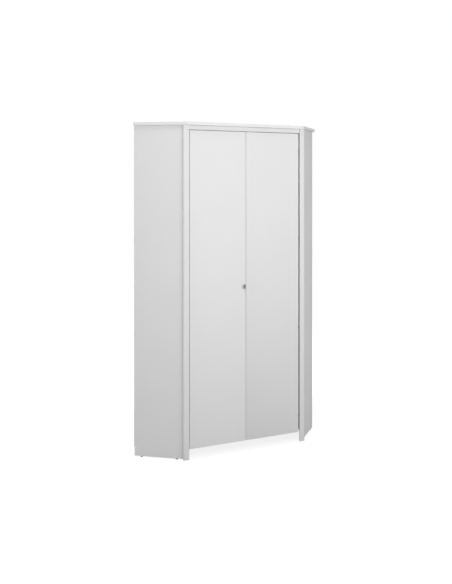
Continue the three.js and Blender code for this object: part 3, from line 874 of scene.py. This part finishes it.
@dataclass(frozen=True)
class Hinges:
    """Concealed hinges, drawn with the pin's axis at the origin, +X to the door's free edge and +Y inwards.

    An eased edge of the cup has two sizes: how far inside the sharp edge its middle lies, both ways, and how far
    from the sharp edge it ends.
    """

    plan: Plan
    doors: Doors
    pin_radius: float = 1.5
    pin_half: float = 16.98
    pin_ease: float = 0.3
    cup_radius: float = 17.5
    cup_depth: float = 11.5
    cup_wall: float = 1.5
    cup_floor: float = 1.2
    cup_heel: Pair = (0.4, 1.5)
    cup_lip: Pair = (0.2, 0.6)
    cup_fillet: float = 0.7
    cup_hub: float = 1.0
    flange: float = 1.0
    flange_half: Pair = (29.0, 19.0)
    flange_corner: float = 6.0
    flange_ease: float = 0.3
    flange_screws: tuple[Pair, ...] = ((-24.0, 6.0), (24.0, 6.0))
    flange_screw: ScrewHead = ScrewHead(height=1.3)
    strip_width: float = 10.0
    strip_thickness: float = 2.5
    strip_corners: tuple[Pair, ...] = ((0, 0), (17.5, 12.25), (14.5, 22), (6, 26.5), (-8, 26.5))
    strip_fillet: float = 2.5
    strip_edge: float = 0.6
    strip_seat: Pair = (42.0, 54.0)
    strip_sink: float = 0.75
    strip_screw: float = 47.5
    eye_radius: float = 3.2
    eye_bore: float = 1.8
    plate_thickness: float = 2.0
    plate_span: Pair = (34.0, 64.0)
    plate_half: float = 24.0
    plate_corner: float = 5.0
    plate_arris: float = 0.4
    plate_screws: tuple[Pair, ...] = ((49.0, -18.0), (49.0, 18.0))
    block_span: Pair = (38.0, 60.0)
    block_half: float = 6.0
    block_corner: float = 1.6
    block_arris: float = 0.9
    block_rise: float = 7.7
    block_screw: float = 57.0
    small_screw: ScrewHead = ScrewHead(2.7, 0.8, 1.5, 0.45, 0.7)

    def cup(self) -> Shell:
        """The cup and its flange in one skin, with two screws.

        The rings blend from the round cup to the flange's rounded oblong, point by point at equal counts.
        """
        mouth = self.plan.board - self.plan.pin_depth
        bottom, seat = mouth - self.cup_depth, mouth + self.plan.fit
        rim, floor = seat + self.flange, bottom + self.cup_floor
        outer, inner, ease = self.cup_radius, self.cup_radius - self.cup_wall, self.flange_ease
        half = np.array(self.flange_half)
        outline = rounded(rectangle(-half, half), self.flange_corner, ROUND_POINTS // 4)
        plate, out = (np.roll(part, -ROUND_POINTS // 2, 0) for part in outline)
        (heel, heel_end), (lip, lip_end), fillet, hub = self.cup_heel, self.cup_lip, self.cup_fillet, self.cup_hub
        under = [(hub, bottom), (inner, bottom), (outer - heel, bottom + heel), (outer, bottom + heel_end)]
        under += [(outer, seat)]
        inside = [(inner + lip_end, rim), (inner + lip, rim - lip), (inner, rim - lip_end)]
        inside += [(inner, floor + fillet), (inner - fillet, floor), (hub, floor)]
        flange = np.stack([raised(plate, seat), raised(plate, rim - ease), raised(plate - ease * out, rim)])
        skin = loft(np.concatenate([lathe_rings(under), flange, lathe_rings(inside)]))
        screws = [self.flange_screw.shell(1).moved(*place, rim) for place in self.flange_screws]
        whole = Shell.joined([skin, *screws])
        upright = Shell(whole.points[:, [1, 2, 0]], whole.blocks)
        return upright.moved(self.doors.cup_inset - self.plan.pin_inset, 0.0, 0.0)

    def pin(self) -> Shell:
        """The pin, with eased ends."""
        radius, half, ease = self.pin_radius, self.pin_half, self.pin_ease
        profile = [(radius - ease, -half), (radius, ease - half), (radius, half - ease), (radius - ease, half)]
        return loft(lathe_rings(profile, SMALL_ROUND_POINTS))

    def arm(self) -> Shell:
        """The arm: an eye on the pin, a bent strip, its housing, and the plate screwed to the side panel.

        A place at distance s from the pin along the panel, and at h from it square to the panel, stands at
        (h - s, h + s) times the wall share.
        """
        x, y = self.plan.pin
        panel_gap = self.plan.side_inner - (self.plan.half_depth - y - x) * WALL_SHARE
        panel_face = self.plan.fit - panel_gap
        plate_face = panel_face + self.plate_thickness
        top = plate_face + self.block_rise
        half, thick = self.strip_width / 2, self.strip_thickness / 2
        seat = top - self.strip_sink + thick
        seated = [((seat - place) * WALL_SHARE, (seat + place) * WALL_SHARE) for place in self.strip_seat]
        section, _ = rounded(rectangle((-thick, -half), (thick, half)), self.strip_edge)
        strip = sweep(filleted([*self.strip_corners, *seated], self.strip_fillet), section)
        outer, bore = self.eye_radius, self.eye_bore
        eye_rings = lathe_rings([(outer, -half), (outer, half), (bore, half), (bore, -half)], SMALL_ROUND_POINTS)
        plate_corners = rectangle((self.plate_span[0], -self.plate_half), (self.plate_span[1], self.plate_half))
        block_corners = rectangle((self.block_span[0], -self.block_half), (self.block_span[1], self.block_half))
        small = self.small_screw.shell(1)
        mounted = [
            slab(rounded(plate_corners, self.plate_corner, FINE), panel_face, plate_face, self.plate_arris),
            slab(rounded(block_corners, self.block_corner, MEDIUM), panel_face + thick, top, self.block_arris),
            *(ScrewHead().shell(1).moved(*place, plate_face) for place in self.plate_screws),
            small.moved(self.block_screw, 0.0, top),
            small.moved(self.strip_screw, 0.0, seat + thick),
        ]
        turned = [part.placed(Axes.FROM_SIDE) for part in mounted]
        return Shell.joined([strip, loft(eye_rings, closed=True), *turned])

    def build(self) -> None:
        """Makes the cup, pin and arm of every hinge."""
        parts = {"cup": self.cup(), "pin": self.pin(), "arm": self.arm()}
        for number, height in enumerate(self.doors.hinge_heights(), 1):
            for part, shell in parts.items():
                placed = shell.moved(*self.plan.pin, height)
                make_twins(f"{{}}_hinge_{part}_{number}", "steel", placed, SCREWED_STEEL, on_door=part != "arm")


@dataclass(frozen=True)
class Knob:
    """The oblong knob near the left door's free edge, and the screw behind it."""

    plan: Plan
    edge_inset: float = 15.0
    width: float = 12.4
    height: float = 28.6
    depth: float = 11.0
    front_round: float = 3.6
    round_rings: int = 8
    stem_radius: float = 4.5
    stem_length: float = 11.0
    stem_rings: int = 9
    stem_waist: float = 0.86
    stem_flare: float = 0.5
    stem_sink: float = 0.5
    stem_ease: float = 0.4
    screw: ScrewHead = ScrewHead(4.5, 2.4, 2.2, 0.6, 1.4)

    def head(self) -> Shell:
        """The head: a tall oval whose front and back edges are eased by a quarter round."""
        outline = oval((0.0, 0.0), np.array((self.width, self.height)) / 2)
        return slab(outline, self.stem_length, self.stem_length + self.depth, self.front_round, self.round_rings)

    def stem(self) -> Shell:
        """The stem, whose radius is R (w + f (2 s - 1)^4) at a share s of its length, with waist w and flare f."""
        rise = np.linspace(0.0, 1.0, self.stem_rings)
        radii = self.stem_radius * (self.stem_waist + self.stem_flare * (2 * rise - 1) ** 4)
        heights = self.plan.fit + rise * (self.stem_length + self.stem_sink)
        return loft(lathe_rings([(radii[0] - self.stem_ease, 0.0), *zip(radii, heights)]))

    def build(self) -> None:
        """Makes the knob and its screw."""
        plan = self.plan
        x, z = -plan.door_gap / 2 - self.edge_inset, (plan.door_lift + plan.door_top) / 2
        knob = Shell.joined([self.head(), self.stem()]).placed(Axes.OUTWARD, (x, plan.door_front, z))
        make_piece("door_knob", "metal", knob, [SATIN_NICKEL], Body.LEFT_DOOR)
        screw = self.screw.shell().placed(Axes.INWARD, (x, plan.door_back, z))
        make_piece("knob_screw", "steel", screw, [ZINC_STEEL], Body.LEFT_DOOR)


@dataclass(frozen=True)
class Catches:
    """Magnetic catches behind the head rail and the strike plates on the doors."""

    plan: Plan
    edge_inset: float = 45.0
    width: float = 40.0
    depth: float = 14.0
    drop: float = 22.0
    lap: float = 20.0
    arris: float = 0.7
    strike_half: Pair = (17.0, 7.0)
    strike_thickness: float = 1.2
    strike_corner: float = 2.0
    strike_arris: float = 0.3
    strike_screw: ScrewHead = ScrewHead(2.8, 0.35, 1.4, 0.4, 0.3)
    air_gap: float = 0.6
    pole_half: float = 12.0
    pole_thickness: float = 1.6
    pole_proud: float = 0.25
    pole_inset: float = 3.0
    pole_corner: float = 0.5
    pole_arris: float = 0.2

    def housing(self) -> Shell:
        """The left catch: its side outline carried across, two steel poles on its face and two screws."""
        plan = self.plan
        near = plan.door_back + plan.fit
        magnet, far = near + self.strike_thickness + self.air_gap, near + self.depth
        low = plan.under_top - plan.head_rail
        foot, high = low - self.drop, low + self.lap
        corners = [(near, low), (near, high), (far, high), (far, foot), (magnet, foot), (magnet, low)]
        middle, half, inset = -plan.door_gap / 2 - self.edge_inset, self.width / 2, self.pole_inset
        body = slab(rounded(corners, self.arris), middle - half, middle + half, self.arris)
        pole_corners = rectangle((magnet - self.pole_proud, foot + inset), (magnet + inset, low - inset))
        outline = rounded(pole_corners, self.pole_corner, COARSE)
        poles = [
            slab(outline, place, place + self.pole_thickness, self.pole_arris, COARSE, wall=1, cap=1)
            for place in (middle - self.pole_half, middle + self.pole_half - self.pole_thickness)
        ]
        screws = [
            ScrewHead().shell(2).placed(Axes.INWARD, (middle + shift, far, low + self.lap / 2))
            for shift in (-half / 2, half / 2)
        ]
        return Shell.joined([Shell.joined([body, *poles]).placed(Axes.CROSSWISE), *screws])

    def strike(self) -> Shell:
        """The left strike plate, held by one screw."""
        plan, half = self.plan, np.array(self.strike_half)
        x, z = -plan.door_gap / 2 - self.edge_inset, plan.under_top - plan.head_rail - self.drop / 2
        outline = rounded(rectangle(-half, half), self.strike_corner, MEDIUM)
        plate = slab(outline, 0.0, self.strike_thickness, self.strike_arris, COARSE)
        screw = self.strike_screw.shell(1).moved(0.0, 0.0, self.strike_thickness)
        return Shell.joined([plate, screw]).placed(Axes.INWARD, (x, plan.door_back + plan.fit, z))

    def build(self) -> None:
        """Makes both catches and both strike plates."""
        make_twins("{}_magnetic_catch", "housing", self.housing(), (WHITE_PLASTIC, NICKEL_STEEL, ZINC_STEEL))
        make_twins("{}_strike_plate", "steel", self.strike(), SCREWED_STEEL, on_door=True)


@dataclass(frozen=True)
class HangingRail:
    """The oval tube under the hat shelf, with its brackets and end caps."""

    plan: Plan
    panels: Panels
    setback: float = 260.0
    end_clearance: float = 234.0
    drop: float = 75.0
    height: float = 30.0
    width: float = 15.0
    wall: float = 1.5
    tube_ease: float = 0.4
    bracket_inset: float = 50.0
    bracket_thickness: float = 5.0
    bracket_rim: float = 5.0
    bracket_ease: float = 0.6
    flange: Triple = (30.0, 52.0, 3.0)
    flange_corner: float = 6.0
    flange_screws: tuple[Pair, ...] = ((-8.0, -18.0), (8.0, 18.0))
    cap: float = 2.0
    cap_arris: float = 0.7

    @property
    def y(self) -> float:
        """The rail's place from front to back."""
        return self.plan.door_back + self.setback

    @property
    def half_length(self) -> float:
        """Half the tube's length."""
        return self.plan.half_depth - self.y - self.plan.back_face / WALL_SHARE - self.end_clearance

    def tube_oval(self, inset: float) -> Outline:
        """The tube's upright oval in y and z, smaller by an inset."""
        half = np.array((self.width / 2 - inset, self.height / 2 - inset))
        return oval((self.y, self.panels.shelf_low - self.drop), half)

    def tube(self) -> Shell:
        """The tube: rings outside and inside, joined at both ends by an eased rim."""
        end, ease, wall = self.half_length, self.tube_ease, self.wall
        stations = [(ease, -end), (0.0, ease - end), (0.0, end - ease), (ease, end), (wall, end), (wall, -end)]
        rings = np.stack([raised(self.tube_oval(inset)[0], place) for inset, place in stations])
        return loft(rings, closed=True).placed(Axes.CROSSWISE)

    def bracket(self) -> Shell:
        """The left bracket: an eye round the tube under a screwed flange."""
        fit, rim, ease = self.plan.fit, self.bracket_rim, self.bracket_ease
        middle, half = self.bracket_inset - self.half_length, self.bracket_thickness / 2
        reach = self.width / 2 + fit + rim
        low = self.panels.shelf_low - self.drop - self.height / 2 - fit - rim
        high = self.panels.shelf_low - fit
        outer, out = rounded(rectangle((self.y - reach, low), (self.y + reach, high)), rim, FULL)
        hole, _ = self.tube_oval(-fit)
        eased = outer - ease * out
        stations = [(eased, -half), (outer, ease - half), (outer, half - ease), (eased, half)]
        stations += [(hole, half), (hole, -half)]
        eye = loft(np.stack([raised(points, middle + place) for points, place in stations]), closed=True)
        width, depth, thick = self.flange
        corners = rectangle((middle - width / 2, self.y - depth / 2), (middle + width / 2, self.y + depth / 2))
        flange = slab(rounded(corners, self.flange_corner, FINE), high - thick, high, ease)
        head = ScrewHead().shell(1)
        below = Shell(head.points * (1.0, -1.0, -1.0), head.blocks)
        screws = [below.moved(middle + x, self.y + y, high - thick) for x, y in self.flange_screws]
        return Shell.joined([eye.placed(Axes.CROSSWISE), flange, *screws])

    def end_cap(self) -> Shell:
        """The left end cap."""
        end = -self.half_length - self.plan.fit
        return slab(self.tube_oval(0.0), end - self.cap, end, self.cap_arris).placed(Axes.CROSSWISE)

    def build(self) -> None:
        """Makes the tube, its brackets and its end caps."""
        make_piece("hanging_rail", "tube", self.tube(), [CHROMED_STEEL])
        make_twins("{}_rail_bracket", "metal", self.bracket(), (CHROMED_STEEL, ZINC_STEEL))
        make_twins("{}_rail_cap", "plastic", self.end_cap(), [WHITE_PLASTIC])


@dataclass(frozen=True)
class SmallTurnings:
    """The turned pieces: shelf pegs and glides.

    The eased edge of a peg's rest has two sizes, as an edge of a hinge cup has. The glide's pit is given by pairs
    of a radius and a height.
    """

    plan: Plan
    panels: Panels
    peg_pin: float = 2.5
    peg_depth: float = 9.0
    peg_rest: float = 4.0
    peg_length: float = 9.0
    peg_inset: float = 50.0
    peg_pin_ease: float = 0.4
    peg_rest_ease: Pair = (0.25, 0.8)
    peg_points: int = 32
    glide_radius: float = 6.5
    glide_round: float = 1.2
    glide_pit: tuple[Pair, ...] = ((0.6, 1.3), (2.0, 1.3), (2.3, 1.0), (2.6, 0.0))
    glide_insets: Pair = (66.0, 44.0)
    glide_points: int = 36

    def peg(self) -> Shell:
        """A peg along its rise axis: a pin in its board and a thicker rest in front of the board's face."""
        pin, rest, ease = self.peg_pin, self.peg_rest, self.peg_pin_ease
        face, (middle, end) = self.plan.fit, self.peg_rest_ease
        tip = face + self.peg_length
        profile = [(pin - ease, -self.peg_depth), (pin, ease - self.peg_depth), (pin, face), (rest, face)]
        profile += [(rest, tip - end), (rest - middle, tip - middle), (rest - end, tip)]
        return loft(lathe_rings(profile, self.peg_points))

    def glide(self) -> Shell:
        """A glide with a rounded foot and a small pit round its nail."""
        radius, ease = self.glide_radius, self.glide_round
        turn = np.linspace(QUARTER_TURN, 0.0, MEDIUM)
        foot = [(radius - ease + ease * math.cos(t), ease - ease * math.sin(t)) for t in turn]
        return loft(lathe_rings([*self.glide_pit, *foot, (radius, self.panels.glide)], self.glide_points))

    def build(self) -> None:
        """Makes the pegs and the glides."""
        plan, panels, inset = self.plan, self.panels, self.peg_inset
        height = panels.shelf_low - self.peg_rest - plan.fit
        shelf_end = plan.out_at(plan.side_inner, panels.shelf_front)
        seats = {
            "front": (plan.left(plan.side_inner, shelf_end - inset), Axes.FROM_SIDE),
            "rear": (plan.left(plan.side_inner, plan.back_face + inset), Axes.FROM_SIDE),
            "batten": (plan.left(plan.back_face + panels.batten, plan.back_face + panels.batten / 2), Axes.TO_SIDE),
        }
        for place, (spot, axes) in seats.items():
            peg = self.peg().placed(axes, (*spot, height))
            make_twins(f"shelf_peg_{{}}_{place}", "steel", peg, [NICKEL_STEEL])
        middle, corner = plan.side_inner + plan.board / 2, plan.back_face + panels.batten / 2
        front, rear = self.glide_insets
        front_foot = plan.left(middle, plan.out_at(middle, plan.panel_front) - front)
        rear_foot = plan.left(middle, plan.back_face + rear)
        make_twins("glide_{}_front", "plastic", self.glide().moved(*front_foot, 0.0), [DARK_PLASTIC])
        make_twins("glide_{}_rear", "plastic", self.glide().moved(*rear_foot, 0.0), [DARK_PLASTIC])
        corner_glide = self.glide().moved(*plan.left(corner, corner), 0.0)
        make_piece("glide_corner", "plastic", corner_glide, [DARK_PLASTIC])


# The studio


@dataclass(frozen=True)
class Lamp:
    """One soft area lamp, aimed at a point of the wardrobe. Its places and sizes are in metres.

    Shiny surfaces mirror the white surround and not the lamps, so that a metal renders about as it is written.
    """

    name: str
    place: Triple
    aim: Triple
    size: Pair
    watts: float

    def build(self) -> None:
        """Makes the lamp."""
        light = bpy.data.lights.new(self.name, "AREA")
        light.shape = "RECTANGLE"
        light.size, light.size_y = self.size
        light.energy = self.watts
        lamp = add_object(self.name, light)
        lamp.location = self.place
        direction = Vector(self.aim) - Vector(self.place)
        lamp.rotation_euler = direction.to_track_quat("-Z", "Y").to_euler()
        lamp.visible_glossy = False


@dataclass(frozen=True)
class Studio:
    """A plain pale floor, a white surround and soft lamps. Its places and sizes are in metres."""

    sky: float = 0.22
    floor_colour: str = "#8a8a8a"
    floor_glow: float = 0.84
    floor_half: float = 12.0
    floor_drop: float = 0.0003
    fade: Pair = (0.9, 1.9)
    lamps: tuple[Lamp, ...] = (
        Lamp("low", (0.1, -3.4, 0.8), (0.1, -0.4, 0.9), (3.0, 1.2), 17.5),
        Lamp("high", (-0.4, -3.2, 2.3), (0.0, -0.4, 1.4), (2.6, 1.0), 38.0),
        Lamp("left", (-4.5, -1.0, 1.7), (0.0, 0.0, 1.2), (2.5, 1.6), 38.5),
        Lamp("overhead", (-1.2, -1.6, 4.4), (-0.2, -0.2, 1.4), (1.6, 1.6), 24.0),
        Lamp("right", (1.5, -2.8, 1.8), (0.2, -0.3, 1.1), (1.6, 1.4), 11.0),
        Lamp("rear_left", (-2.0, 3.2, 3.3), (0.0, 0.3, 1.1), (2.0, 2.4), 70.0),
        Lamp("rear_right", (2.0, 3.2, 3.3), (0.0, 0.3, 1.1), (2.0, 2.4), 70.0),
    )

    @staticmethod
    def seen_rays(tree: Tree) -> Socket:
        """1 for rays that the camera, a shiny surface or clear material sends, and 0 for the rest."""
        path = add_node(tree, "LightPath", {})
        total = path.outputs["Is Camera Ray"]
        for kind in ("Is Glossy Ray", "Is Transmission Ray"):
            inputs = {0: total, 1: path.outputs[kind]}
            total = add_node(tree, "Math", inputs, operation="ADD", use_clamp=True).outputs[0]
        return total

    def build_world(self) -> None:
        """A surround that looks white and lights the wardrobe softly."""
        world = bpy.data.worlds.new("studio_surround")
        bpy.context.scene.world = world
        tree = empty_tree(world)
        strengths = {"Value": self.seen_rays(tree), "To Min": self.sky, "To Max": 1.0}
        strength = add_node(tree, "MapRange", strengths).outputs[0]
        surround = add_node(tree, "Background", {"Color": linear(WHITE), "Strength": strength})
        add_node(tree, "OutputWorld", {"Surface": surround.outputs[0]})

    def floor_material(self) -> bpy.types.Material:
        """A pale sheet that takes the shadow, and glows only for the rays that are seen.

        The glow rises from its value under the wardrobe to full white at the far end of the fade, so that the
        floor runs into the surround without an edge.
        """
        material = bpy.data.materials.new("pale_floor")
        tree = empty_tree(material)
        place = add_node(tree, "TexCoord", {}).outputs["Object"]
        distance = add_node(tree, "VectorMath", {0: place}, operation="LENGTH").outputs["Value"]
        near, far = self.fade
        spans = {"Value": distance, "From Min": near, "From Max": far, "To Min": self.floor_glow, "To Max": 1.0}
        glow = add_node(tree, "MapRange", spans, interpolation_type="SMOOTHSTEP").outputs[0]
        seen = add_node(tree, "Math", {0: glow, 1: self.seen_rays(tree)}, operation="MULTIPLY").outputs[0]
        sheet = add_node(tree, "BsdfDiffuse", {"Color": linear(self.floor_colour)})
        light = add_node(tree, "Emission", {"Color": linear(WHITE), "Strength": seen})
        both = add_node(tree, "AddShader", {0: sheet.outputs[0], 1: light.outputs[0]})
        add_node(tree, "OutputMaterial", {"Surface": both.outputs[0]})
        return material

    def build_floor(self) -> None:
        """The floor, a little under the wardrobe's feet."""
        half = self.floor_half
        mesh = bpy.data.meshes.new("studio_floor")
        corners = raised(rectangle((-half, -half), (half, half)), -self.floor_drop)
        mesh.from_pydata(corners.tolist(), [], [(0, 1, 2, 3)])
        mesh.materials.append(self.floor_material())
        add_object("studio_floor", mesh)

    def build(self) -> None:
        """Makes the floor, the surround and the lamps."""
        bpy.context.scene.view_settings.view_transform = "Standard"
        self.build_world()
        self.build_floor()
        for lamp in self.lamps:
            lamp.build()
        log.info("studio: floor, surround and %d lamps", len(self.lamps))


@dataclass(frozen=True)
class PhotoCamera:
    """The photograph's camera: level, turned to the right, and shifted down. Its place is in metres.

    The focal length and the middle of projection are in pixels of the 452 by 584 picture.
    """

    place: Triple = (-2.98736, -5.73365, 1.7003)
    turn_degrees: float = 31.31
    focal: float = 939.86
    centre: Pair = (276.31, 186.84)
    picture: Pair = (452.0, 584.0)
    sensor: float = 36.0
    reach: float = 60.0

    def build(self) -> None:
        """Makes the camera and gives it to the scene."""
        camera = bpy.data.cameras.new("photo_camera")
        width, height = self.picture
        camera.sensor_width = self.sensor
        camera.lens = self.focal / height * self.sensor
        camera.shift_x = (width / 2 - self.centre[0]) / height
        camera.shift_y = (self.centre[1] - height / 2) / height
        camera.clip_end = self.reach
        holder = add_object("photo_camera", camera)
        holder.location = self.place
        holder.rotation_euler = Euler((QUARTER_TURN, 0.0, -math.radians(self.turn_degrees)))
        bpy.context.scene.camera = holder
        log.info("camera: %.1f mm lens", camera.lens)


def main() -> None:
    """Builds the wardrobe's sub-assemblies, then the studio round them."""
    logging.basicConfig(level=logging.INFO)
    PhotoCamera().build()
    plan = Plan()
    panels = Panels(plan)
    doors = Doors(plan)
    boards = (panels, FrontFrame(plan), doors)
    fittings = (Hinges(plan, doors), Knob(plan), Catches(plan))
    inside = (HangingRail(plan, panels), SmallTurnings(plan, panels))
    for assembly in (*boards, *fittings, *inside):
        assembly.build()
    Studio().build()


if __name__ == "__main__":
    main()
